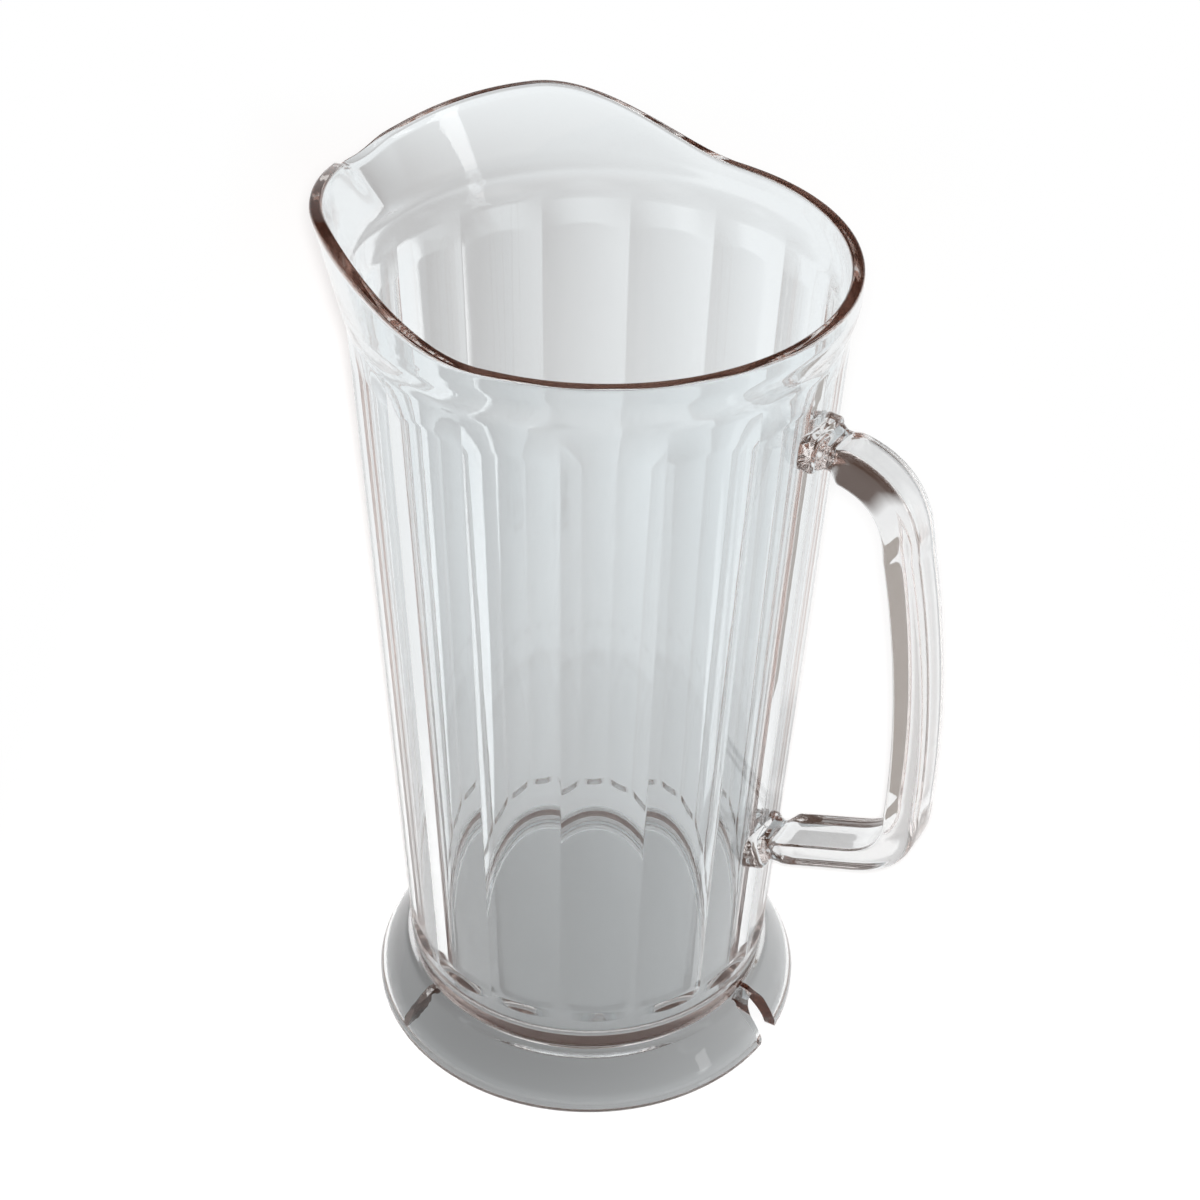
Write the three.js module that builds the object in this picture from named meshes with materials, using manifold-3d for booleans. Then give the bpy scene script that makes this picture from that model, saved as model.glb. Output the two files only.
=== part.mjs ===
// Clear plastic pitcher with a fluted wall, a raised pouring lip, a loop handle and a flared foot ring.
// Millimetres, +Z up. The handle points along +X and the pouring beak along -X.
import * as THREE from 'three';
import { mergeVertices } from 'three/addons/utils/BufferGeometryUtils.js';
import Module from 'manifold-3d';

// Height of the low rim above the table, and what lies below the rim
const rimHeight = 231;
const collarDepth = 10.5;
const fluteHeadDepth = 10.5;
const ledgeDepth = 6;
const flareDepth = 5;

// Shoulder of the vessel on its foot ring
const shoulderHeight = 15.3;
const floorThickness = 4.4;

// Fluted wall, outer radius measured on the ridges between two flutes
const wallFootRadius = 50.5;
const wallHeadRadius = 61.2;
const wallThickness = 3.4;
const fluteCount = 16;
const fluteDepth = 1.1;
const fluteFootHeight = 26;
const fluteFootArch = 1;
const fluteHeadArch = 2.5;
const fluteFootRunOut = 1.6;
const fluteHeadRunOut = 4;
const floorFillet = 6;

// Mouth and pouring lip; angles are measured round the axis from the beak
const mouthRadius = 63;
const rimThickness = 3.2;
const rimEdge = 0.8;
const lipRise = 16.4;
const lipCrownAngle = 44;
const lipEndAngle = 94;
const lipFlare = 5;
const lipFlareAngle = 35;
const lipFlareEndAngle = 100;
const beakReach = 6.5;
const beakReachAngle = 8;
const beakDip = 9.6;
const beakDipAngle = 18.5;
const troughDip = 1.6;
const troughAngle = 2;
const troughEndAngle = 9;

// Heel of the vessel and its socket in the foot ring
const seatClearance = 0.3;
const heelRadius = 48.6;
const heelDepth = 2.9;
const ledgeReach = 4;
const ledgeThickness = 2.6;

// Flared foot ring with a drain notch under the handle and the trimmed web of its gate
const skirtRadius = 60;
const skirtRootRadius = 51.8;
const skirtWall = 3.2;
const skirtEdge = 2.6;
const skirtToeRadius = 0.8;
const notchWidth = 8;
const notchHeight = 13;
const notchToeRadius = 1.6;
const webAngle = -120;
const webWidth = 3.4;
const webFootHeight = 1.6;
const webFootDepth = 2;
const webRootDepth = 4.2;
const webOverlap = 0.9;

// Loop handle, drawn in the plane of the axis and the beak
const barWidth = 14.6;
const barThickness = 8.4;
const barEdgeRadius = 2.2;
const upperArmDrop = 32.5;
const upperArmSlope = -5;
const lowerArmHeight = 71.5;
const lowerArmSlope = 20;
const gripTopReach = 84.6;
const gripFootReach = 95.2;
const gripBow = 2.6;
const upperBend = 19;
const lowerBend = 15;

// Flanges at the ends of the arms, saddled on the wall, and the neck between flange and arm
const flangeWidth = 16.8;
const flangeDepth = 10.4;
const flangeCorner = 3.4;
const flangeThickness = 3;
const flangeRound = 0.8;
const footOverrun = 6;
const neckWidth = 12.4;
const neckDepth = 6.4;
const neckCorner = 1.9;
const neckStart = 4.1;
const neckLength = 2.4;

// Facets
const columnsPerFlute = 6;
const endRows = 4;
const curveFacets = 4;
const footFacets = 72;
const gripSteps = 36;
const flangeFacets = 2;
const weldDistance = 1e-4;

const clearPlastic = { color: 0xd7dee0, roughness: 0.06, metalness: 0, transparent: true, opacity: 0.5 };

const wasm = await Module();
wasm.setup();

// A closed geometry as a solid that can be joined and cut
function solidOf(geometry) {
  const bare = geometry.clone();
  bare.deleteAttribute('normal');
  bare.deleteAttribute('uv');
  const merged = mergeVertices(bare, weldDistance);
  return new wasm.Manifold(new wasm.Mesh({
    numProp: 3,
    vertProperties: new Float32Array(merged.attributes.position.array),
    triVerts: new Uint32Array(merged.index.array),
  }));
}

// A solid back as a geometry with flat shading
function geometryOf(solid) {
  const { vertProperties, triVerts } = solid.getMesh();
  const geometry = new THREE.BufferGeometry();
  geometry.setAttribute('position', new THREE.BufferAttribute(new Float32Array(vertProperties), 3));
  geometry.setIndex(new THREE.BufferAttribute(new Uint32Array(triVerts), 1));
  geometry.computeVertexNormals();
  return geometry;
}

function revolve(outline, facets) {
  return new THREE.LatheGeometry(outline, facets).rotateX(Math.PI / 2);
}

const collarHeight = rimHeight - collarDepth;
const ledgeHeight = rimHeight - ledgeDepth;
const flareHeight = rimHeight - flareDepth;
const fluteHeadHeight = rimHeight - fluteHeadDepth;
const upperArmHeight = rimHeight - upperArmDrop;
const floorUnderside = shoulderHeight - heelDepth;
const floorTop = floorUnderside + floorThickness;
const socketRadius = heelRadius + seatClearance;
const socketFoot = floorUnderside - seatClearance - ledgeThickness;

function wallRadius(height) {
  const share = (height - shoulderHeight) / (collarHeight - shoulderHeight);
  return THREE.MathUtils.lerp(wallFootRadius, wallHeadRadius, share);
}

// Heights of the rows of the outer wall: both arched flute ends and the plain bands beside them
function wallRows() {
  const rows = [shoulderHeight];
  const footEnd = fluteFootArch + fluteFootRunOut;
  const headEnd = fluteHeadArch + fluteHeadRunOut;
  for (let i = 0; i <= endRows; i++) {
    rows.push(fluteFootHeight + (i / endRows) * footEnd);
  }
  for (let i = 0; i <= endRows; i++) {
    rows.push(fluteHeadHeight - (1 - i / endRows) * headEnd);
  }
  return rows.filter((height) => height < collarHeight).concat(collarHeight);
}

// Half section of the vessel before fluting and before the lip is drawn up, from the floor's underside
// round the outside and over the rim to the floor inside
function vesselOutline() {
  const outline = new THREE.Path();
  outline.moveTo(0, floorUnderside);
  outline.lineTo(heelRadius, floorUnderside);
  outline.lineTo(heelRadius, shoulderHeight);
  for (const height of wallRows()) {
    outline.lineTo(wallRadius(height), height);
  }
  const collarSlope = (wallHeadRadius - wallFootRadius) / (collarHeight - shoulderHeight);
  const coveRise = (flareHeight - collarHeight) / 2;
  const coveLean = collarSlope * coveRise;
  outline.quadraticCurveTo(wallHeadRadius + coveLean, collarHeight + coveRise, mouthRadius, flareHeight);
  const innerRim = mouthRadius - rimThickness;
  outline.lineTo(mouthRadius, rimHeight - rimEdge);
  outline.quadraticCurveTo(mouthRadius, rimHeight, mouthRadius - rimEdge, rimHeight);
  outline.lineTo(innerRim + rimEdge, rimHeight);
  outline.quadraticCurveTo(innerRim, rimHeight, innerRim, rimHeight - rimEdge);
  outline.lineTo(innerRim, flareHeight);
  const innerHead = wallHeadRadius - wallThickness;
  outline.quadraticCurveTo(innerHead + coveLean, collarHeight + coveRise, innerHead, collarHeight);
  const filletTop = floorTop + floorFillet;
  const innerFoot = wallRadius(filletTop) - wallThickness;
  outline.lineTo(innerFoot, filletTop);
  outline.quadraticCurveTo(innerFoot, floorTop, innerFoot - floorFillet, floorTop);
  outline.lineTo(0, floorTop);
  return outline.getPoints(curveFacets);
}

// Depth of the flutes at a height; across is 0 in the middle of a flute and 1 on its ridges
function fluteCut(height, across) {
  const fromFoot = (height - fluteFootHeight - fluteFootArch * across * across) / fluteFootRunOut;
  const fromHead = (fluteHeadHeight - fluteHeadArch * across * across - height) / fluteHeadRunOut;
  const runOut = THREE.MathUtils.clamp(Math.min(fromFoot, fromHead), 0, 1);
  return fluteDepth * runOut * (2 - runOut) * (1 - across * across);
}

// How far the lip is drawn up and out, by the angle from the beak
function lipHeight(angle) {
  const crown = 1 - THREE.MathUtils.smoothstep(angle, lipCrownAngle, lipEndAngle);
  const trough = 1 - THREE.MathUtils.smoothstep(angle, troughAngle, troughEndAngle);
  return lipRise * crown - beakDip * Math.exp(-angle / beakDipAngle) - troughDip * trough;
}

function lipReach(angle) {
  const flare = 1 - THREE.MathUtils.smoothstep(angle, lipFlareAngle, lipFlareEndAngle);
  return lipFlare * flare + beakReach * Math.exp(-angle / beakReachAngle);
}

// Presses the flutes into every point that lies on the outside of the wall
function pressFlutes(geometry) {
  const place = geometry.attributes.position;
  const pitch = 360 / fluteCount;
  const point = new THREE.Vector3();
  for (let i = 0; i < place.count; i++) {
    point.fromBufferAttribute(place, i);
    const radius = Math.hypot(point.x, point.y);
    const inWall = point.z > shoulderHeight && point.z < fluteHeadHeight;
    if (!inWall || radius < wallRadius(point.z) - wallThickness / 2) continue;
    const turn = THREE.MathUtils.radToDeg(Math.atan2(point.y, point.x));
    const inFlute = THREE.MathUtils.euclideanModulo(turn, pitch) / pitch;
    const pressed = 1 - fluteCut(point.z, Math.abs(2 * inFlute - 1)) / radius;
    place.setXYZ(i, point.x * pressed, point.y * pressed, point.z);
  }
  return geometry;
}

// Draws the lip up and out of every point above the ledge inside the mouth
function drawLip(geometry) {
  const place = geometry.attributes.position;
  const drawnHeight = rimHeight - rimEdge - ledgeHeight;
  const point = new THREE.Vector3();
  for (let i = 0; i < place.count; i++) {
    point.fromBufferAttribute(place, i);
    if (point.z <= ledgeHeight) continue;
    const drawn = Math.min((point.z - ledgeHeight) / drawnHeight, 1);
    const radius = Math.hypot(point.x, point.y);
    const fromBeak = 180 - Math.abs(THREE.MathUtils.radToDeg(Math.atan2(point.y, point.x)));
    const flared = 1 + (drawn * lipReach(fromBeak)) / radius;
    place.setXYZ(i, point.x * flared, point.y * flared, point.z + drawn * lipHeight(fromBeak));
  }
  return geometry;
}

function vesselBody() {
  return drawLip(pressFlutes(revolve(vesselOutline(), fluteCount * columnsPerFlute)));
}

function roundedRectangle(width, depth, corner) {
  const x = width / 2;
  const y = depth / 2;
  const shape = new THREE.Shape();
  shape.moveTo(x, corner - y);
  shape.absarc(x - corner, y - corner, corner, 0, Math.PI / 2, false);
  shape.absarc(corner - x, y - corner, corner, Math.PI / 2, Math.PI, false);
  shape.absarc(corner - x, corner - y, corner, Math.PI, 1.5 * Math.PI, false);
  shape.absarc(x - corner, corner - y, corner, 1.5 * Math.PI, 2 * Math.PI, false);
  return shape;
}

// Where an arm meets the wall, and the way it leaves it
const arms = [
  { height: upperArmHeight, tilt: THREE.MathUtils.degToRad(upperArmSlope) },
  { height: lowerArmHeight, tilt: THREE.MathUtils.degToRad(lowerArmSlope) },
].map(({ height, tilt }) => ({
  tilt,
  root: new THREE.Vector3(wallRadius(height), 0, height),
  way: new THREE.Vector3(Math.cos(tilt), 0, Math.sin(tilt)),
}));

// The outside of the fluted wall with the bond line added, which the feet of the handle are cut to
function wallEnvelope() {
  const outline = new THREE.Path();
  outline.moveTo(0, shoulderHeight);
  for (const height of wallRows()) {
    outline.lineTo(wallRadius(height) + seatClearance, height);
  }
  outline.lineTo(0, collarHeight);
  return pressFlutes(revolve(outline.getPoints(), fluteCount * columnsPerFlute));
}

// Closed section of the foot ring: bore and ledge for the heel, flared wall and rounded toe
function skirtOutline() {
  const bore = socketRadius;
  const top = shoulderHeight - seatClearance;
  const ledgeTop = floorUnderside - seatClearance;
  const ledgeFoot = socketFoot;
  const toe = skirtToeRadius;
  const innerToe = skirtRadius - skirtWall;
  const outline = new THREE.Path();
  outline.moveTo(bore, top);
  outline.lineTo(bore, ledgeTop);
  outline.lineTo(bore - ledgeReach, ledgeTop);
  outline.lineTo(bore - ledgeReach, ledgeFoot);
  outline.lineTo(bore, ledgeFoot);
  outline.quadraticCurveTo(innerToe - toe, ledgeFoot / 2, innerToe, 0);
  outline.lineTo(skirtRadius - toe, 0);
  outline.quadraticCurveTo(skirtRadius, 0, skirtRadius, toe);
  outline.lineTo(skirtRadius, skirtEdge);
  outline.quadraticCurveTo(skirtRadius - toe, skirtEdge + skirtWall, skirtRootRadius + toe, top - toe);
  outline.quadraticCurveTo(skirtRootRadius, top, skirtRootRadius - toe, top);
  outline.lineTo(bore, top);
  return outline.getPoints(curveFacets);
}

// A slot through the flared wall, from the table up, with its mouth rounded out
function drainNotch() {
  const half = notchWidth / 2;
  const toe = notchToeRadius;
  const slot = new THREE.Shape();
  slot.moveTo(-half - toe, -toe);
  slot.lineTo(half + toe, -toe);
  slot.lineTo(half + toe, 0);
  slot.quadraticCurveTo(half, 0, half, toe);
  slot.lineTo(half, notchHeight - half);
  slot.absarc(0, notchHeight - half, half, 0, Math.PI, false);
  slot.lineTo(-half, toe);
  slot.quadraticCurveTo(-half, 0, -half - toe, 0);
  const geometry = new THREE.ExtrudeGeometry(slot, {
    depth: skirtRadius - socketRadius + toe,
    curveSegments: curveFacets,
    bevelEnabled: false,
  });
  return geometry.rotateX(Math.PI / 2).rotateZ(Math.PI / 2).translate(socketRadius, 0, 0);
}

// A thin web across the hollow under the flare, from the seat down to the toe
function gateWeb() {
  const outer = skirtRadius - skirtWall + webOverlap;
  const inner = socketRadius - webOverlap;
  const web = new THREE.Shape();
  web.moveTo(inner, socketFoot + webOverlap);
  web.lineTo(inner, socketFoot + webOverlap - webRootDepth);
  web.lineTo(outer, webFootHeight);
  web.lineTo(outer, webFootHeight + webFootDepth);
  const geometry = new THREE.ExtrudeGeometry(web, { depth: webWidth, bevelEnabled: false });
  const turn = THREE.MathUtils.degToRad(webAngle);
  return geometry.translate(0, 0, -webWidth / 2).rotateX(Math.PI / 2).rotateZ(turn);
}

function baseSkirt() {
  const ring = solidOf(revolve(skirtOutline(), footFacets));
  return geometryOf(ring.subtract(solidOf(drainNotch())).add(solidOf(gateWeb())));
}

// Centre line of the handle, from inside the wall at the upper foot round to the lower one
function gripPath() {
  const [upper, lower] = arms;
  const start = upper.root.clone().addScaledVector(upper.way, -footOverrun);
  const end = lower.root.clone().addScaledVector(lower.way, -footOverrun);
  const topReach = (gripTopReach - upper.root.x) / upper.way.x;
  const footReach = (gripFootReach - lower.root.x) / lower.way.x;
  const topCorner = upper.root.clone().addScaledVector(upper.way, topReach);
  const footCorner = lower.root.clone().addScaledVector(lower.way, footReach);
  const grip = footCorner.clone().sub(topCorner).normalize();
  const topStart = topCorner.clone().addScaledVector(upper.way, -upperBend);
  const topEnd = topCorner.clone().addScaledVector(grip, upperBend);
  const footStart = footCorner.clone().addScaledVector(grip, -lowerBend);
  const footEnd = footCorner.clone().addScaledVector(lower.way, -lowerBend);
  const bowed = topEnd.clone().lerp(footStart, 0.5).add(new THREE.Vector3(2 * gripBow, 0, 0));
  const path = new THREE.CurvePath();
  path.add(new THREE.LineCurve3(start, topStart));
  path.add(new THREE.QuadraticBezierCurve3(topStart, topCorner, topEnd));
  path.add(new THREE.QuadraticBezierCurve3(topEnd, bowed, footStart));
  path.add(new THREE.QuadraticBezierCurve3(footStart, footCorner, footEnd));
  path.add(new THREE.LineCurve3(footEnd, end));
  return path;
}

// The flange round the end of an arm, from inside the wall to its outer face
function footFlange({ tilt, root, way }) {
  const trim = 2 * flangeRound;
  const face = roundedRectangle(flangeWidth - trim, flangeDepth - trim, flangeCorner - flangeRound);
  const geometry = new THREE.ExtrudeGeometry(face, {
    depth: footOverrun + flangeThickness - trim,
    curveSegments: curveFacets,
    bevelSize: flangeRound,
    bevelThickness: flangeRound,
    bevelSegments: flangeFacets,
  });
  geometry.rotateX(Math.PI / 2).rotateZ(Math.PI / 2).rotateY(-tilt);
  const start = root.clone().addScaledVector(way, flangeRound - footOverrun);
  return geometry.translate(start.x, start.y, start.z);
}

// The groove between the flange and the plain arm
function neckGroove({ tilt, root, way }) {
  const around = roundedRectangle(barWidth + flangeWidth, barThickness + flangeDepth, flangeCorner);
  around.holes.push(roundedRectangle(neckWidth, neckDepth, neckCorner));
  const geometry = new THREE.ExtrudeGeometry(around, {
    depth: neckLength,
    curveSegments: curveFacets,
    bevelEnabled: false,
  });
  geometry.rotateX(Math.PI / 2).rotateZ(Math.PI / 2).rotateY(-tilt);
  const start = root.clone().addScaledVector(way, neckStart);
  return geometry.translate(start.x, start.y, start.z);
}

function loopHandle() {
  const bar = new THREE.ExtrudeGeometry(roundedRectangle(barWidth, barThickness, barEdgeRadius), {
    steps: gripSteps,
    curveSegments: curveFacets,
    bevelEnabled: false,
    extrudePath: gripPath(),
  });
  let handle = solidOf(bar);
  for (const arm of arms) {
    handle = handle.add(solidOf(footFlange(arm))).subtract(solidOf(neckGroove(arm)));
  }
  return geometryOf(handle.subtract(solidOf(wallEnvelope())));
}

function subPart(name, geometry) {
  const mesh = new THREE.Mesh(geometry, new THREE.MeshStandardMaterial(clearPlastic));
  mesh.name = name;
  return mesh;
}

// The origin is on the table, under the middle of the whole object
const pitcher = new THREE.Group();
pitcher.add(subPart('vessel_body', vesselBody()));
pitcher.add(subPart('base_skirt', baseSkirt()));
pitcher.add(subPart('handle', loopHandle()));
const middle = new THREE.Box3().setFromObject(pitcher).getCenter(new THREE.Vector3());
pitcher.position.x = -middle.x;

export default pitcher;
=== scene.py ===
import math

import bmesh
import bpy
from mathutils import Matrix, Vector, noise


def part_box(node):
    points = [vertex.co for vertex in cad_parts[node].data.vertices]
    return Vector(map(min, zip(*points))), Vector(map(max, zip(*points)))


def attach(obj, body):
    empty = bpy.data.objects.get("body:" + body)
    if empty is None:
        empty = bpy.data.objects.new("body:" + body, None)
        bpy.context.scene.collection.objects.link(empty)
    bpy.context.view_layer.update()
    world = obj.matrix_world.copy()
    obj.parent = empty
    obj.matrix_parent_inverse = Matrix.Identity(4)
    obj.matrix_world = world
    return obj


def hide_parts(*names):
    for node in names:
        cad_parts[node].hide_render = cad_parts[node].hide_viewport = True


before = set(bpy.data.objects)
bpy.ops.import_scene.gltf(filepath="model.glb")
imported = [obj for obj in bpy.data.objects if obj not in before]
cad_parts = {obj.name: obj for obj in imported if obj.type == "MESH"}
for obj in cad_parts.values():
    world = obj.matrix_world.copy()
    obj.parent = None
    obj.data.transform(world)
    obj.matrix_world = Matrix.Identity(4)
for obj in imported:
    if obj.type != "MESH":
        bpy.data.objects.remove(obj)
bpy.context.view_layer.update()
mm = 0.001

# the vessel stands over the middle of its foot ring
footLow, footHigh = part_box("base_skirt")
axisX = footLow.x + (footHigh.y - footLow.y) / 2
print("frame loaded, vessel axis at x =", round(axisX / mm, 2), "mm")


# Small helpers

def linearColor(hexValue):
    channels = [int(hexValue[i:i + 2], 16) / 255 for i in (1, 3, 5)]
    linear = [c / 12.92 if c <= 0.04045 else ((c + 0.055) / 1.055) ** 2.4 for c in channels]
    return (*linear, 1.0)


def addNode(tree, kind, settings=None, values=None, links=None):
    node = tree.nodes.new(kind)
    for name, value in (settings or {}).items():
        setattr(node, name, value)
    for socket, value in (values or {}).items():
        node.inputs[socket].default_value = value
    for socket, source in (links or {}).items():
        tree.links.new(source, node.inputs[socket])
    return node


def lerp(low, high, share):
    return low + (high - low) * share


def smoothStep(value, low, high):
    share = min(max((value - low) / (high - low), 0.0), 1.0)
    return share * share * (3 - 2 * share)


def line(start, end, steps):
    return [start.lerp(end, i / steps) for i in range(1, steps + 1)]


def curve(start, pull, end, steps):
    shares = [i / steps for i in range(1, steps + 1)]
    return [start.lerp(pull, t).lerp(pull.lerp(end, t), t) for t in shares]


# rings of points become one closed skin: a loop of rings joins up, an open row gets a fan at each end
def skinRings(name, rings, loop, material):
    count = len(rings[0])
    points = [point * mm for ring in rings for point in ring]
    faces = []
    for row in range(len(rings) if loop else len(rings) - 1):
        here = row * count
        there = (row + 1) % len(rings) * count
        for i in range(count):
            j = (i + 1) % count
            faces.append((here + i, here + j, there + j, there + i))
    if not loop:
        for ring, start in ((rings[0], 0), (rings[-1], (len(rings) - 1) * count)):
            middle = len(points)
            points.append(sum(ring, Vector((0, 0, 0))) / count * mm)
            faces += [(start + i, start + (i + 1) % count, middle) for i in range(count)]
    mesh = bpy.data.meshes.new(name)
    mesh.from_pydata(points, [], faces)
    work = bmesh.new()
    work.from_mesh(mesh)
    bmesh.ops.recalc_face_normals(work, faces=work.faces)
    work.to_mesh(mesh)
    work.free()
    mesh.materials.append(material)
    piece = bpy.data.objects.new(name, mesh)
    bpy.context.scene.collection.objects.link(piece)
    piece.location.x = axisX
    return piece


def smoothFaces(piece, sharpAngle):
    piece.data.shade_smooth()
    piece.data.set_sharp_from_angle(angle=math.radians(sharpAngle))


def dress(piece, node):
    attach(piece, "root")
    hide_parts(node)
    print(piece.name, "has", len(piece.data.polygons), "faces")


# Clear polycarbonate, injection moulded in a polished mould: glassy, faintly cool grey through one wall,
# brown where the eye looks along the plastic, with soft flow ripples and fine draw lines up the wall
plastic = {
    "tint": "#f0f5f7",
    "ior": 1.585,
    "roughness": 0.015,
    # painted shade: the brown tint of the trimmed web, which makes it show dark
    "trimRoughness": 0.25, "trimShadeTint": "#6b5148",
    "depthColor": "#d2aa95",
    "depthDensity": 10.0,    # per metre
    "rippleSize": 28.0,      # mm, flow ripples of the melt
    "rippleDepth": 0.02,     # mm
    "drawLineSize": 1.6,     # mm across, drawn coarser than the real polishing lines so that they show
    "drawLineDepth": 0.004,  # mm
    "drawLineStretch": 0.02,
}


def clearPolycarbonate(name, roughness, tint):
    material = bpy.data.materials.new(name)
    material.use_nodes = True
    tree = material.node_tree
    tree.nodes.clear()
    place = addNode(tree, "ShaderNodeTexCoord")
    ripple = addNode(tree, "ShaderNodeTexNoise", values={
        "Scale": 1 / (plastic["rippleSize"] * mm), "Detail": 1.5, "Roughness": 0.45,
    }, links={"Vector": place.outputs["Object"]})
    upright = addNode(tree, "ShaderNodeMapping", values={"Scale": (1, 1, plastic["drawLineStretch"])},
                      links={"Vector": place.outputs["Object"]})
    drawLines = addNode(tree, "ShaderNodeTexNoise", values={
        "Scale": 1 / (plastic["drawLineSize"] * mm), "Detail": 2.0, "Roughness": 0.6,
    }, links={"Vector": upright.outputs["Vector"]})
    rippled = addNode(tree, "ShaderNodeBump", values={
        "Strength": 1.0, "Distance": plastic["rippleDepth"] * mm,
    }, links={"Height": ripple.outputs[0]})
    lined = addNode(tree, "ShaderNodeBump", values={
        "Strength": 1.0, "Distance": plastic["drawLineDepth"] * mm,
    }, links={"Height": drawLines.outputs[0], "Normal": rippled.outputs[0]})
    shader = addNode(tree, "ShaderNodeBsdfPrincipled", values={
        "Base Color": linearColor(tint),
        "Roughness": roughness,
        "IOR": plastic["ior"],
        "Transmission Weight": 1.0,
    }, links={"Normal": lined.outputs[0]})
    depth = addNode(tree, "ShaderNodeVolumeAbsorption", values={
        "Color": linearColor(plastic["depthColor"]),
        "Density": plastic["depthDensity"],
    })
    addNode(tree, "ShaderNodeOutputMaterial", links={
        "Surface": shader.outputs[0], "Volume": depth.outputs[0],
    })
    return material


clearPlastic = clearPolycarbonate("clear_polycarbonate_moulded", plastic["roughness"], plastic["tint"])
# the same plastic where a knife trimmed it: torn and sparkling, its tint darkened to brown as painted shade
trimmedShadedPlastic = clearPolycarbonate(
    "clear_polycarbonate_trimmed_shaded", plastic["trimRoughness"], plastic["trimShadeTint"])
print("materials made")


# Vessel: floor, fluted wall, smooth collar, rim and the lip drawn up and out to the beak
vessel = {
    "rim": 231.0, "collar": 217.0, "ledge": 225.0, "flare": 226.0,
    "shoulder": 15.3, "underside": 12.4, "floorTop": 16.8, "floorFillet": 6.0,
    "heelRadius": 48.6, "heelRound": 0.7, "footRadius": 50.5, "headRadius": 61.2, "wall": 3.4,
    "mouthRadius": 63.0, "rimThickness": 3.2, "rimEdge": 0.8,
    "flutes": 16, "fluteDepth": 1.1, "fluteFoot": 26.0, "fluteHead": 220.5,
    "headArch": 2.5, "headRunOut": 11.0, "footArch": 1.0, "footRunOut": 2.6,
    "lipRise": 16.4, "lipCrown": (44, 94), "lipFlare": 5.0, "lipFlareSpan": (35, 100),
    "beakReach": 6.5, "beakReachAngle": 8.0, "beakDip": 9.6, "beakDipAngle": 18.5, "beakRound": 1.0,
    "troughDip": 1.6, "troughSpan": (2, 9),
    "ridgeRound": 0.25, "columnsPerFlute": 26, "coveSteps": 12, "hubRadius": 4.0, "sharpAngle": 50,
}


def wallRadius(z):
    return lerp(vessel["footRadius"], vessel["headRadius"],
                (z - vessel["shoulder"]) / (vessel["collar"] - vessel["shoulder"]))


# across is 0 in the middle of a flute and 1 on the ridges, and the ends of a flute are arched
def fluteCut(z, degrees):
    pitch = 360 / vessel["flutes"]
    across = abs(2 * (degrees % pitch) / pitch - 1)
    aboveFoot = z - vessel["fluteFoot"] - vessel["footArch"] * across ** 2
    belowHead = vessel["fluteHead"] - vessel["headArch"] * across ** 2 - z
    runOut = min(aboveFoot / vessel["footRunOut"], belowHead / vessel["headRunOut"], 1.0)
    runOut = max(runOut, 0.0)
    return vessel["fluteDepth"] * runOut * (1 - across ** 2)


# how far the lip is drawn out and up at an angle from the beak
def lipDraw(fromBeak):
    soft = math.hypot(fromBeak, vessel["beakRound"]) - vessel["beakRound"]
    reach = vessel["lipFlare"] * (1 - smoothStep(fromBeak, *vessel["lipFlareSpan"]))
    rise = vessel["lipRise"] * (1 - smoothStep(fromBeak, *vessel["lipCrown"]))
    reach += vessel["beakReach"] * math.exp(-soft / vessel["beakReachAngle"])
    rise -= vessel["beakDip"] * math.exp(-soft / vessel["beakDipAngle"])
    rise -= vessel["troughDip"] * (1 - smoothStep(fromBeak, *vessel["troughSpan"]))
    return reach, rise


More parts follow.
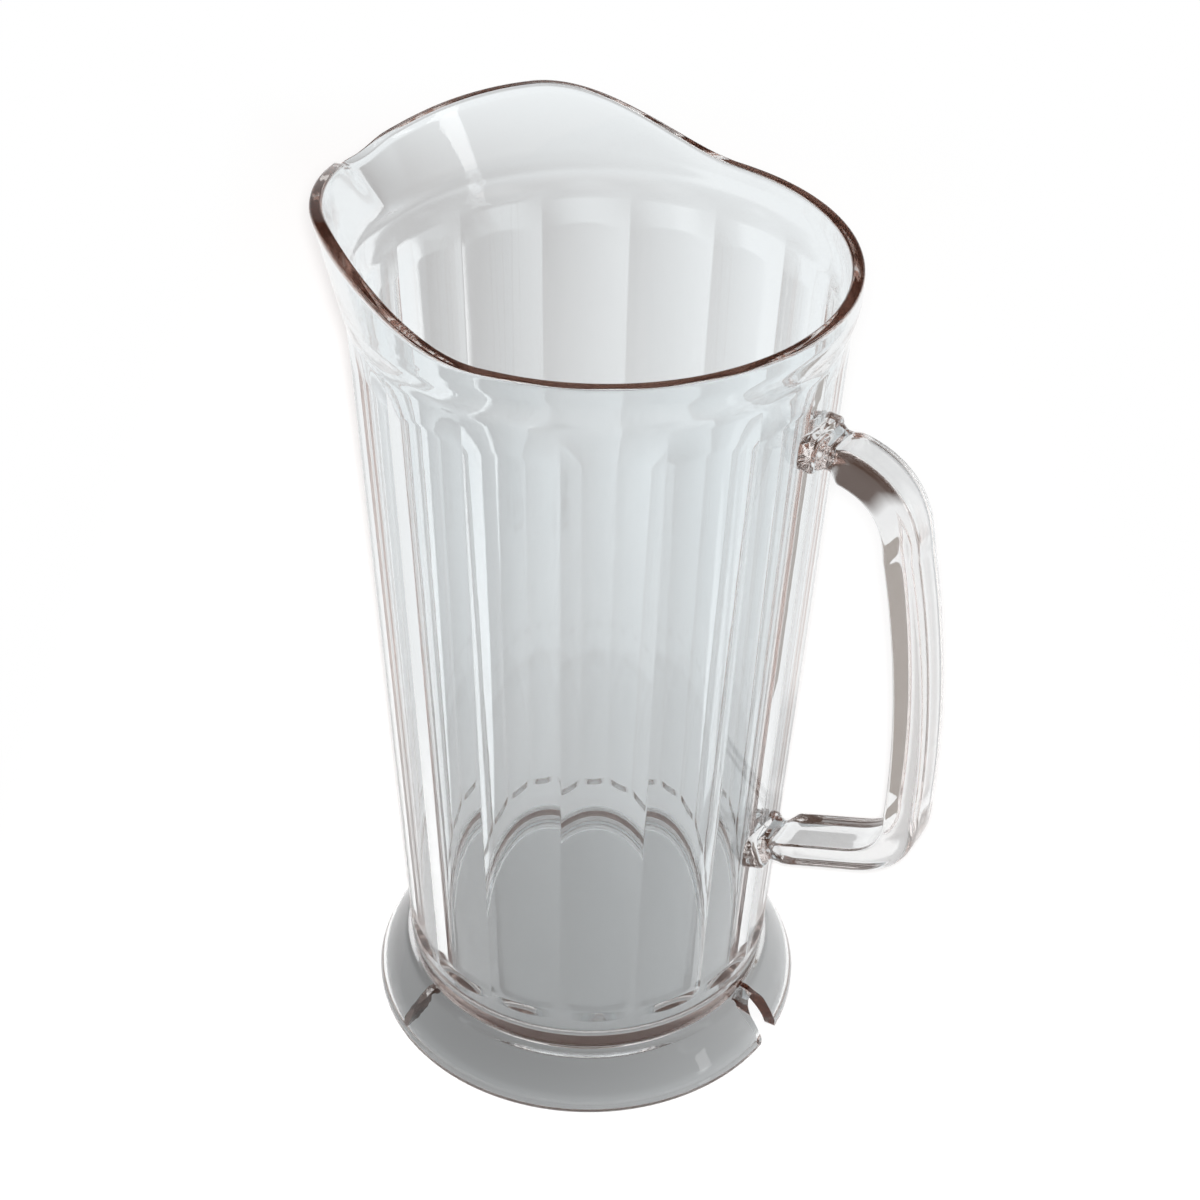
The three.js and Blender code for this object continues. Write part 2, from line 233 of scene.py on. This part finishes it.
# half section from the middle of the underside, up the outside, over the rim and down to the floor's middle
def vesselSection():
    v = vessel
    footEnd = v["fluteFoot"] + v["footArch"] + v["footRunOut"]
    headStart = v["fluteHead"] - v["headArch"] - v["headRunOut"]
    slope = (v["headRadius"] - v["footRadius"]) / (v["collar"] - v["shoulder"])
    def cove(wallLine, mouth, share):
        z = lerp(v["collar"], v["flare"], share)
        return Vector((lerp(wallLine + slope * (z - v["collar"]), mouth, smoothStep(share, 0, 1)), z))
    points = [Vector((v["hubRadius"], v["underside"]))]
    points += line(points[-1], Vector((v["heelRadius"] - v["heelRound"], v["underside"])), 10)
    points += curve(points[-1], Vector((v["heelRadius"], v["underside"])),
                    Vector((v["heelRadius"], v["underside"] + v["heelRound"])), 4)
    points += line(points[-1], Vector((v["heelRadius"], v["shoulder"])), 2)
    points += line(points[-1], Vector((v["footRadius"] - v["heelRound"], v["shoulder"])), 2)
    points += curve(points[-1], Vector((v["footRadius"], v["shoulder"])),
                    Vector((wallRadius(v["shoulder"] + v["heelRound"]), v["shoulder"] + v["heelRound"])), 4)
    heights = [(v["fluteFoot"], 4), (footEnd, 20), (headStart, 26), (v["collar"], 24)]
    for z, rows in heights:
        points += line(points[-1], Vector((wallRadius(z), z)), rows)
    outside = len(points)
    steps = v["coveSteps"]
    points += [cove(v["headRadius"], v["mouthRadius"], i / steps) for i in range(1, steps + 1)]
    edge = v["rimEdge"]
    inside = v["mouthRadius"] - v["rimThickness"]
    points += line(points[-1], Vector((v["mouthRadius"], v["rim"] - edge)), 10)
    points += curve(points[-1], Vector((v["mouthRadius"], v["rim"])),
                    Vector((v["mouthRadius"] - edge, v["rim"])), 7)
    points += line(points[-1], Vector((inside + edge, v["rim"])), 3)
    points += curve(points[-1], Vector((inside, v["rim"])), Vector((inside, v["rim"] - edge)), 7)
    points += line(points[-1], Vector((inside, v["flare"])), 10)
    innerHead = v["headRadius"] - v["wall"]
    points += [cove(innerHead, inside, i / steps) for i in reversed(range(steps))]
    filletTop = v["floorTop"] + v["floorFillet"]
    innerFoot = wallRadius(filletTop) - v["wall"]
    points += line(points[-1], Vector((innerFoot, filletTop)), 26)
    points += curve(points[-1], Vector((innerFoot, v["floorTop"])),
                    Vector((innerFoot - v["floorFillet"], v["floorTop"])), 12)
    points += line(points[-1], Vector((v["hubRadius"], v["floorTop"])), 10)
    return points, outside


# columns across one flute, as shares of its width, close together beside the ridges
def fluteColumns():
    edge = vessel["ridgeRound"] / (math.radians(360 / vessel["flutes"]) * vessel["headRadius"])
    inside = vessel["columnsPerFlute"] - 3
    return [0.0, edge] + [lerp(edge, 1 - edge, i / inside) for i in range(1, inside)] + [1 - edge]


def vesselPiece():
    v = vessel
    section, outside = vesselSection()
    pitch = 360 / v["flutes"]
    drawnHeight = v["rim"] - v["rimEdge"] - v["ledge"]
    angles = [pitch * (flute + column) - 180 for flute in range(v["flutes"]) for column in fluteColumns()]
    draws = [lipDraw(180 - abs(degrees)) for degrees in angles]
    rings = []
    for row, (radius, z) in enumerate(section):
        ring = []
        drawn = min(max((z - v["ledge"]) / drawnHeight, 0.0), 1.0)
        fluted = v["shoulder"] < z < v["fluteHead"] and row < outside + v["coveSteps"]
        for degrees, (reach, rise) in zip(angles, draws):
            out = radius + drawn * reach
            if fluted:
                out -= fluteCut(z, degrees)
            turn = math.radians(degrees)
            ring.append(Vector((out * math.cos(turn), out * math.sin(turn), z + drawn * rise)))
        rings.append(ring)
    return skinRings("pitcher_vessel", rings, False, clearPlastic)


vesselBody = vesselPiece()
smoothFaces(vesselBody, vessel["sharpAngle"])
dress(vesselBody, "vessel_body")


# Foot ring: seat for the vessel's heel, flared wall with a rounded edge, hollow below, one drain notch under
# the handle and one short rib, the trimmed web of the gate, rough where it was cut
skirt = {
    "bore": 48.9, "top": 15.0, "ledgeTop": 12.1, "ledgeFoot": 9.5, "ledgeReach": 4.0,
    "radius": 60.0, "rootRadius": 51.8, "wall": 3.2, "edge": 2.6, "toeRound": 0.8,
    "notchAngle": 0.0, "notchWidth": 8.0, "notchHeight": 13.0, "notchToe": 1.6,
    "ribAngle": -120.0, "ribWidth": 3.8, "ribFoot": 1.1, "ribRough": 0.5, "ribBite": 0.4,
    "ribRise": 1.2, "ribInnerDrop": 3.0, "ribOuterDrop": 0.8, "ribRows": 22, "ribColumns": 20,
    "ribGrainAlong": 0.9, "ribGrainAround": 4.0,
    "cornerRound": 0.4, "notchRoot": 0.6, "columns": 432, "sharpAngle": 38,
}


def skirtSection():
    s = skirt
    toe = s["toeRound"]
    corner = s["cornerRound"]
    innerToe = s["radius"] - s["wall"]
    inner = s["bore"] - s["ledgeReach"]
    points = [Vector((s["bore"], s["top"] - corner))]
    points += line(points[-1], Vector((s["bore"], s["ledgeTop"])), 3)
    points += line(points[-1], Vector((inner + corner, s["ledgeTop"])), 4)
    points += curve(points[-1], Vector((inner, s["ledgeTop"])), Vector((inner, s["ledgeTop"] - corner)), 3)
    points += line(points[-1], Vector((inner, s["ledgeFoot"] + corner)), 3)
    points += curve(points[-1], Vector((inner, s["ledgeFoot"])), Vector((inner + corner, s["ledgeFoot"])), 3)
    points += line(points[-1], Vector((s["bore"], s["ledgeFoot"])), 4)
    points += curve(points[-1], Vector((innerToe - toe, s["ledgeFoot"] / 2)), Vector((innerToe, toe)), 16)
    points += curve(points[-1], Vector((innerToe, 0)), Vector((innerToe + toe, 0)), 4)
    points += line(points[-1], Vector((s["radius"] - toe, 0)), 2)
    points += curve(points[-1], Vector((s["radius"], 0)), Vector((s["radius"], toe)), 5)
    points += line(points[-1], Vector((s["radius"], s["edge"])), 3)
    points += curve(points[-1], Vector((s["radius"] - toe, s["edge"] + s["wall"])),
                    Vector((s["rootRadius"] + toe, s["top"] - toe)), 20)
    points += curve(points[-1], Vector((s["rootRadius"], s["top"])),
                    Vector((s["rootRadius"] - toe, s["top"])), 5)
    points += line(points[-1], Vector((s["bore"] + corner, s["top"])), 2)
    points += curve(points[-1], Vector((s["bore"], s["top"])), points[0], 3)[:-1]
    return points


# a slot through the flared wall from the table up, round at its head and eased out at its mouth
def notchCutter():
    s = skirt
    half = s["notchWidth"] / 2
    toe = s["notchToe"]
    shoulder = s["notchHeight"] - half
    right = [Vector((half + toe, -toe)), Vector((half + toe, 0))]
    right += curve(right[-1], Vector((half, 0)), Vector((half, toe)), 8)
    right += line(right[-1], Vector((half, shoulder)), 6)
    arch = [Vector((half * math.cos(math.pi * i / 24), shoulder + half * math.sin(math.pi * i / 24)))
            for i in range(1, 24)]
    outline = right + arch + [Vector((-p.x, p.y)) for p in reversed(right)]
    turned = Matrix.Rotation(math.radians(s["notchAngle"]), 3, "Z")
    reaches = (s["bore"] + s["notchRoot"], s["radius"] + toe)
    rings = [[turned @ Vector((out, p.x, p.y)) for p in outline] for out in reaches]
    return skinRings("notch_cutter", rings, False, clearPlastic)


# a leaf that fills the hollow between the seat and the flared wall, its faces left ragged
def ribPiece():
    s = skirt
    turned = Matrix.Rotation(math.radians(s["ribAngle"]), 3, "Z")
    inner = s["bore"] - s["ribBite"]
    outer = s["radius"] - s["wall"] + s["ribBite"]
    steps = s["ribRows"]
    rings = []
    for i in range(steps + 1):
        out = lerp(inner, outer, i / steps)
        head = lerp(s["ledgeFoot"] + s["ribRise"], s["ribFoot"] + s["ribRise"], i / steps)
        foot = lerp(s["ledgeFoot"] - s["ribInnerDrop"], s["ribFoot"] - s["ribOuterDrop"], i / steps)
        half = s["ribWidth"] / 2 * (0.55 + 0.45 * math.sin(math.pi * (i + 1) / (steps + 2)))
        ring = []
        for j in range(s["ribColumns"]):
            around = 2 * math.pi * j / s["ribColumns"]
            turn = Vector((0, math.cos(around), math.sin(around)))
            grain = turn * s["ribGrainAround"] + Vector((out * s["ribGrainAlong"], 0, 0))
            aside = (half + s["ribRough"] * noise.noise(grain)) * math.cos(around)
            up = lerp(foot, head, 0.5) + (head - foot) / 2 * math.sin(around)
            ring.append(turned @ Vector((out, aside, up)))
        rings.append(ring)
    return skinRings("gate_web", rings, False, trimmedShadedPlastic)


def skirtPiece():
    s = skirt
    turns = [2 * math.pi * i / s["columns"] for i in range(s["columns"])]
    rings = [[Vector((r * math.cos(t), r * math.sin(t), z)) for t in turns] for r, z in skirtSection()]
    piece = skinRings("pitcher_foot_ring", rings, True, clearPlastic)
    steps = [(notchCutter(), "DIFFERENCE"), (ribPiece(), "UNION")]
    for tool, operation in steps:
        change = piece.modifiers.new(tool.name, "BOOLEAN")
        change.operation = operation
        change.object = tool
        change.solver = "EXACT"
        change.material_mode = "TRANSFER"
    bpy.context.view_layer.update()
    shown = piece.evaluated_get(bpy.context.evaluated_depsgraph_get())
    mesh = bpy.data.meshes.new_from_object(shown)
    piece.modifiers.clear()
    piece.data = mesh
    for tool, operation in steps:
        bpy.data.objects.remove(tool)
    return piece


footRing = skirtPiece()
smoothFaces(footRing, skirt["sharpAngle"])
dress(footRing, "base_skirt")


# Loop handle: two flanged feet saddled on the wall, necked arms and a bowed bar
handle = {
    "barWidth": 15.4, "barThickness": 8.4, "outerCorner": 2.6, "innerCorner": 0.8, "draft": 11.0,
    "upperArm": 198.5, "upperSlope": -5.0, "lowerArm": 71.5, "lowerSlope": 20.0,
    "gripTop": 84.6, "gripFoot": 95.2, "gripBow": 2.6, "upperBend": 19.0, "lowerBend": 15.0,
    "flangeWidth": 16.8, "flangeDepth": 10.4, "flangeCorner": 3.4, "flangeThickness": 3.0, "flangeRound": 1.3,
    "neckWidth": 12.4, "neckDepth": 6.4, "neckLength": 7.0, "neckCorner": 2.2, "bondLine": 0.12,
    "saddleRound": 0.35, "saddleShares": (0.05, 0.25, 0.45, 0.65, 0.8, 0.9), "wallSearch": 30.0,
    "neckLean": 0.75, "sharpAngle": 50,
    "cornerPoints": 9, "sidePoints": 5,
}


# rounded trapezium, first coordinate in the loop's plane, second across it; the loop's outside is narrower
def barSection(depth, width, outerCorner, innerCorner, draft):
    lean = math.radians(draft)
    reach = width / 2 * math.cos(lean) - depth / 2 * math.sin(lean)
    half = []
    arcs = [(1, outerCorner, 0, math.pi / 2 - lean), (-1, innerCorner, math.pi / 2 - lean, math.pi)]
    for sign, corner, first, last in arcs:
        middleX = sign * (depth / 2 - corner)
        middle = Vector((middleX, (reach - corner - math.sin(lean) * middleX) / math.cos(lean)))
        for i in range(handle["cornerPoints"]):
            turn = lerp(first, last, i / (handle["cornerPoints"] - 1))
            half.append(middle + Vector((math.cos(turn), math.sin(turn))) * corner)
    points = half + [Vector((p.x, -p.y)) for p in reversed(half)]
    full = []
    for i, point in enumerate(points):
        following = points[(i + 1) % len(points)]
        full.append(point)
        if (i + 1) % handle["cornerPoints"] == 0:
            full += line(point, following, handle["sidePoints"])[:-1]
    return full


# slides a point along the arm until it lies on the outside of the wall
def onWall(point, way):
    low, high = -handle["wallSearch"], handle["wallSearch"]
    for _ in range(40):
        middle = (low + high) / 2
        tried = point + way * middle
        degrees = math.degrees(math.atan2(tried.y, tried.x))
        surface = wallRadius(tried.z) - fluteCut(tried.z, degrees) + handle["bondLine"]
        if math.hypot(tried.x, tried.y) < surface:
            low = middle
        else:
            high = middle
    return point + way * high


# rings of one flange, from the middle of its saddle out to its rounded top
def footRings(root, way, outward):
    h = handle
    side = Vector((-way.z, 0, way.x)) * outward
    across = Vector((0, 1, 0))
    flange = barSection(h["flangeDepth"], h["flangeWidth"], h["flangeCorner"], h["flangeCorner"], 0)
    saddle = [[onWall(root + side * p.x * share + across * p.y * share, way) for p in flange]
              for share in h["saddleShares"]]
    trim = h["flangeRound"]
    saddleRound = h["saddleRound"]
    rings = list(saddle)
    easedCorner = h["flangeCorner"] - saddleRound
    eased = barSection(h["flangeDepth"] - 2 * saddleRound, h["flangeWidth"] - 2 * saddleRound,
                       easedCorner, easedCorner, 0)
    rings.append([onWall(root + side * p.x + across * p.y, way) for p in eased])
    edge = [onWall(root + side * p.x + across * p.y, way) + way * saddleRound for p in flange]
    rings.append(edge)
    shoulder = h["flangeThickness"] - trim
    top = [root + way * shoulder + side * p.x + across * p.y for p in flange]
    for share in (0.35, 0.7, 1.0):
        rings.append([a.lerp(b, share) for a, b in zip(edge, top)])
    for i in range(1, 7):
        turn = math.pi / 2 * i / 6
        inset = trim * (1 - math.cos(turn))
        lift = shoulder + trim * math.sin(turn)
        corner = h["flangeCorner"] - inset
        ring = barSection(h["flangeDepth"] - 2 * inset, h["flangeWidth"] - 2 * inset, corner, corner, 0)
        rings.append([root + way * lift + side * p.x + across * p.y for p in ring])
    return rings


# size of the bar at a distance from the nearer flange: as wide as the flange at first, then necked
def armSize(distance):
    h = handle
    trim = h["flangeRound"]
    topCorner = h["flangeCorner"] - trim
    flangeTop = (h["flangeDepth"] - 2 * trim, h["flangeWidth"] - 2 * trim, topCorner, topCorner, 0)
    neck = (h["neckDepth"], h["neckWidth"], h["neckCorner"], h["neckCorner"], 0)
    bar = (h["barThickness"], h["barWidth"], h["outerCorner"], h["innerCorner"], h["draft"])
    share = min(distance / h["neckLength"], 1)
    hollow = math.sin(math.pi * share ** h["neckLean"]) ** 2
    outer = [lerp(a, b, smoothStep(share, 0, 1)) for a, b in zip(flangeTop, bar)]
    return [lerp(a, b, hollow) for a, b in zip(outer, neck)]


def handlePiece():
    h = handle
    upperWay, lowerWay = [Vector((math.cos(slope), 0, math.sin(slope)))
                          for slope in (math.radians(h["upperSlope"]), math.radians(h["lowerSlope"]))]
    upperRoot = Vector((wallRadius(h["upperArm"]), 0, h["upperArm"]))
    lowerRoot = Vector((wallRadius(h["lowerArm"]), 0, h["lowerArm"]))
    upperRings = footRings(upperRoot, upperWay, 1)
    lowerRings = footRings(lowerRoot, lowerWay, -1)
    topCorner = upperRoot + upperWay * ((h["gripTop"] - upperRoot.x) / upperWay.x)
    footCorner = lowerRoot + lowerWay * ((h["gripFoot"] - lowerRoot.x) / lowerWay.x)
    down = (footCorner - topCorner).normalized()
    topEnd = topCorner + down * h["upperBend"]
    footStart = footCorner - down * h["lowerBend"]
    bowed = topEnd.lerp(footStart, 0.5) + Vector((2 * h["gripBow"], 0, 0))
    path = [upperRoot + upperWay * h["flangeThickness"]]
    path += line(path[-1], topCorner - upperWay * h["upperBend"], 14)
    path += curve(path[-1], topCorner, topEnd, 48)
    path += curve(path[-1], bowed, footStart, 40)
    path += curve(path[-1], footCorner, footCorner - lowerWay * h["lowerBend"], 26)
    straightEnd = lowerRoot + lowerWay * (h["flangeThickness"] + h["neckLength"])
    path += line(path[-1], straightEnd, 8)
    path += line(path[-1], lowerRoot + lowerWay * h["flangeThickness"], 24)
    travelled = [0.0]
    for start, end in zip(path, path[1:]):
        travelled.append(travelled[-1] + (end - start).length)
    rings = []
    for i in range(1, len(path) - 1):
        along = (path[i + 1] - path[i - 1]).normalized()
        side = Vector((-along.z, 0, along.x))
        section = barSection(*armSize(min(travelled[i], travelled[-1] - travelled[i])))
        rings.append([path[i] + side * p.x + Vector((0, p.y, 0)) for p in section])
    lowerRings.reverse()
    return skinRings("pitcher_handle", upperRings + rings + lowerRings, False, clearPlastic)


loopHandle = handlePiece()
smoothFaces(loopHandle, handle["sharpAngle"])
dress(loopHandle, "handle")


# Studio: pale floor, soft lamps, a world that is white at the horizon and dims overhead
studio = {
    "floorColor": "#fafafa", "floorSize": 8.0, "floorDrop": 0.0002,
    # painted light: the floor's glow share, brighter to the right and to the back, dimmer at the front by the
    # foot
    "paintedLightLeft": 0.24, "paintedLightRight": 0.7, "gradeReach": 0.1,
    "backFrom": -0.02, "backTo": 0.26, "paintedLightFront": 0.78, "paintedLightBack": 1.3,
    "asideFrom": 0.11, "asideTo": 0.2, "farFrom": 0.48, "farTo": 0.66,
    "horizonColor": "#ffffff", "zenithColor": "#523c31", "horizonTop": 0.06, "zenithFrom": 0.45,
    # painted shade: the colour of the glowing card that gives the bar its grey stripe
    "cardPaintedShade": "#a9a099", "cardRight": 0.17, "cardBack": 0.022, "cardLength": 0.075, "cardHeight": 0.13,
    "cardCrossings": 2.5,
    "lamps": [
        # name, azimuth from the camera side, elevation, distance m, width m, height m, watts, seen in gloss
        ("key_front", 0, 35.9, 0.64, 0.014, 0.014, 13.6, False),
        ("top_soft", 0, 88, 1.6, 1.6, 1.6, 3.4, False),
        ("side_right", 60, 5, 1.3, 0.14, 0.25, 0.12, True),
    ],
}

camera = {
    "azimuth": 30.0, "elevation": 35.7, "distance": 629.3, "aimHeight": 129.8,
    "roll": 1.11, "yaw": -0.16, "focalPixels": 2400.0, "imagePixels": 1200.0, "sensor": 36.0,
}


def aroundAxis(azimuth, elevation, distance, height):
    a = math.radians(azimuth)
    e = math.radians(elevation)
    away = Vector((math.sin(a) * math.cos(e), -math.cos(a) * math.cos(e), math.sin(e)))
    return Vector((axisX, 0, height)) + away * distance


# level direction, as an azimuth counted from the camera side
def level(azimuth):
    a = math.radians(camera["azimuth"] + azimuth)
    return Vector((math.sin(a), -math.cos(a), 0))


def makeCamera():
    c = camera
    data = bpy.data.cameras.new("photo_camera")
    data.sensor_width = c["sensor"]
    data.lens = c["focalPixels"] / c["imagePixels"] * c["sensor"]
    data.clip_start = 0.01
    eye = bpy.data.objects.new("photo_camera", data)
    eye.location = aroundAxis(c["azimuth"], c["elevation"], c["distance"] * mm, c["aimHeight"] * mm)
    toObject = Vector((axisX, 0, c["aimHeight"] * mm)) - eye.location
    aim = toObject.to_track_quat("-Z", "Y").to_matrix()
    turn = Matrix.Rotation(math.radians(c["yaw"]), 3, "Y") @ Matrix.Rotation(math.radians(c["roll"]), 3, "Z")
    eye.rotation_euler = (aim @ turn).to_euler()
    bpy.context.scene.collection.objects.link(eye)
    bpy.context.scene.camera = eye


def sheet(name, corners, material):
    mesh = bpy.data.meshes.new(name)
    mesh.from_pydata(corners, [], [(0, 1, 2, 3)])
    mesh.materials.append(material)
    flat = bpy.data.objects.new(name, mesh)
    bpy.context.scene.collection.objects.link(flat)
    return flat


def rampBetween(tree, source, low, high, toLow=0.0, toHigh=1.0, easing="LINEAR"):
    ramp = addNode(tree, "ShaderNodeMapRange", {"interpolation_type": easing}, {
        "From Min": low, "From Max": high, "To Min": toLow, "To Max": toHigh}, {"Value": source})
    return ramp.outputs["Result"]


# lit, so that it keeps the shadow, and glowing in part where it is seen: painted light, which lifts the
# shadow seen through the plastic, graded more to the right and the back and dimmer at the front by the foot;
# fully at the sides and far away, where it is the white ground
def makeFloor():
    s = studio
    material = bpy.data.materials.new("pale_floor_painted_light")
    material.use_nodes = True
    tree = material.node_tree
    tree.nodes.clear()
    path = addNode(tree, "ShaderNodeLightPath")
    cameraOrGloss = addNode(tree, "ShaderNodeMath", {"operation": "ADD"}, links={
        0: path.outputs["Is Camera Ray"], 1: path.outputs["Is Glossy Ray"]})
    seen = addNode(tree, "ShaderNodeMath", {"operation": "ADD", "use_clamp": True}, links={
        0: cameraOrGloss.outputs[0], 1: path.outputs["Is Transmission Ray"]})
    place = addNode(tree, "ShaderNodeNewGeometry").outputs["Position"]
    away = addNode(tree, "ShaderNodeVectorMath", {"operation": "LENGTH"}, links={0: place}).outputs["Value"]
    toRight, toBack = [
        addNode(tree, "ShaderNodeVectorMath", {"operation": "DOT_PRODUCT"}, {1: level(azimuth)}, {0: place})
        .outputs["Value"] for azimuth in (90, 180)]
    aside = addNode(tree, "ShaderNodeMath", {"operation": "ABSOLUTE"}, links={0: toRight}).outputs[0]
    paintedLightAcross = rampBetween(tree, toRight, -s["gradeReach"], s["gradeReach"], s["paintedLightLeft"], s["paintedLightRight"])
    paintedLightBehind = rampBetween(tree, toBack, s["backFrom"], s["backTo"], s["paintedLightFront"], s["paintedLightBack"])
    paintedLightGraded = addNode(tree, "ShaderNodeMath", {"operation": "MULTIPLY", "use_clamp": True}, links={
        0: paintedLightAcross, 1: paintedLightBehind})
    fade = addNode(tree, "ShaderNodeMath", {"operation": "MAXIMUM"}, links={
        0: rampBetween(tree, aside, s["asideFrom"], s["asideTo"], easing="SMOOTHSTEP"),
        1: rampBetween(tree, away, s["farFrom"], s["farTo"], easing="SMOOTHSTEP")})
    paintedLightShare = addNode(tree, "ShaderNodeMapRange", values={"To Max": 1.0}, links={
        "Value": fade.outputs[0], "To Min": paintedLightGraded.outputs[0]})
    share = addNode(tree, "ShaderNodeMath", {"operation": "MULTIPLY"}, links={
        0: seen.outputs[0], 1: paintedLightShare.outputs["Result"]})
    paint = addNode(tree, "ShaderNodeBsdfDiffuse", values={"Color": linearColor(s["floorColor"])})
    glow = addNode(tree, "ShaderNodeEmission", values={"Color": linearColor("#ffffff"), "Strength": 1.0})
    mixed = addNode(tree, "ShaderNodeMixShader", links={
        0: share.outputs[0], 1: paint.outputs[0], 2: glow.outputs[0]})
    addNode(tree, "ShaderNodeOutputMaterial", links={"Surface": mixed.outputs[0]})
    half = s["floorSize"] / 2
    floor = sheet("floor", [(-half, -half, 0), (half, -half, 0), (half, half, 0), (-half, half, 0)], material)
    floor.location.z = -s["floorDrop"]


# painted shade: a glowing taupe card outside the picture, seen only through the plastic, that the bar's flat
# side shows as its grey stripe in place of the shade behind the bar; it isn't seen through both walls of the
# vessel
def makeCard():
    s = studio
    material = bpy.data.materials.new("painted_shade_card")
    material.use_nodes = True
    tree = material.node_tree
    tree.nodes.clear()
    path = addNode(tree, "ShaderNodeLightPath")
    throughVessel = addNode(tree, "ShaderNodeMath", {"operation": "GREATER_THAN"}, {1: s["cardCrossings"]}, {
        0: path.outputs["Transmission Depth"]})
    paint = addNode(tree, "ShaderNodeEmission", values={
        "Color": linearColor(s["cardPaintedShade"]), "Strength": 1.0})
    clear = addNode(tree, "ShaderNodeBsdfTransparent")
    mixed = addNode(tree, "ShaderNodeMixShader", links={
        0: throughVessel.outputs[0], 1: paint.outputs[0], 2: clear.outputs[0]})
    addNode(tree, "ShaderNodeOutputMaterial", links={"Surface": mixed.outputs[0]})
    half = s["cardLength"] / 2
    height = s["cardHeight"]
    card = sheet("painted_shade_card", [(-half, 0, 0), (half, 0, 0), (half, 0, height), (-half, 0, height)], material)
    card.location = Vector((axisX, 0, mm)) + level(90) * s["cardRight"] + level(180) * s["cardBack"]
    card.rotation_euler.z = math.radians(camera["azimuth"] + 90)
    card.visible_camera = False
    card.visible_diffuse = False
    card.visible_glossy = False
    card.visible_shadow = False


def makeWorld():
    world = bpy.data.worlds.new("soft_studio")
    bpy.context.scene.world = world
    world.use_nodes = True
    tree = world.node_tree
    tree.nodes.clear()
    place = addNode(tree, "ShaderNodeTexCoord")
    direction = addNode(tree, "ShaderNodeSeparateXYZ", links={0: place.outputs["Generated"]})
    ramp = addNode(tree, "ShaderNodeValToRGB", links={0: direction.outputs["Z"]})
    ramp.color_ramp.elements[0].position = studio["horizonTop"]
    ramp.color_ramp.elements[0].color = linearColor(studio["horizonColor"])
    ramp.color_ramp.elements[1].position = studio["zenithFrom"]
    ramp.color_ramp.elements[1].color = linearColor(studio["zenithColor"])
    sky = addNode(tree, "ShaderNodeBackground", values={"Strength": 1.0}, links={"Color": ramp.outputs[0]})
    addNode(tree, "ShaderNodeOutputWorld", links={"Surface": sky.outputs[0]})


def makeLamps():
    for name, azimuth, elevation, distance, width, height, watts, seen in studio["lamps"]:
        data = bpy.data.lights.new(name, "AREA")
        data.shape = "RECTANGLE"
        data.size = width
        data.size_y = height
        data.energy = watts
        data.use_nodes = True
        glow = data.node_tree.nodes["Emission"]
        even = addNode(data.node_tree, "ShaderNodeLightFalloff", values={"Strength": 1.0})
        data.node_tree.links.new(even.outputs["Constant"], glow.inputs["Strength"])
        lamp = bpy.data.objects.new(name, data)
        middle = Vector((axisX, 0, camera["aimHeight"] * mm))
        lamp.location = aroundAxis(camera["azimuth"] + azimuth, elevation, distance, middle.z)
        lamp.rotation_euler = (middle - lamp.location).to_track_quat("-Z", "Y").to_euler()
        lamp.visible_glossy = seen
        lamp.visible_transmission = seen
        bpy.context.scene.collection.objects.link(lamp)


makeCamera()
makeFloor()
makeCard()
makeWorld()
makeLamps()
scene = bpy.context.scene
scene.view_settings.view_transform = "Standard"
scene.cycles.max_bounces = 96
scene.cycles.transmission_bounces = 96
scene.cycles.glossy_bounces = 96
scene.cycles.transparent_max_bounces = 16
scene.cycles.caustics_refractive = False
scene.cycles.caustics_reflective = False
print("studio made")
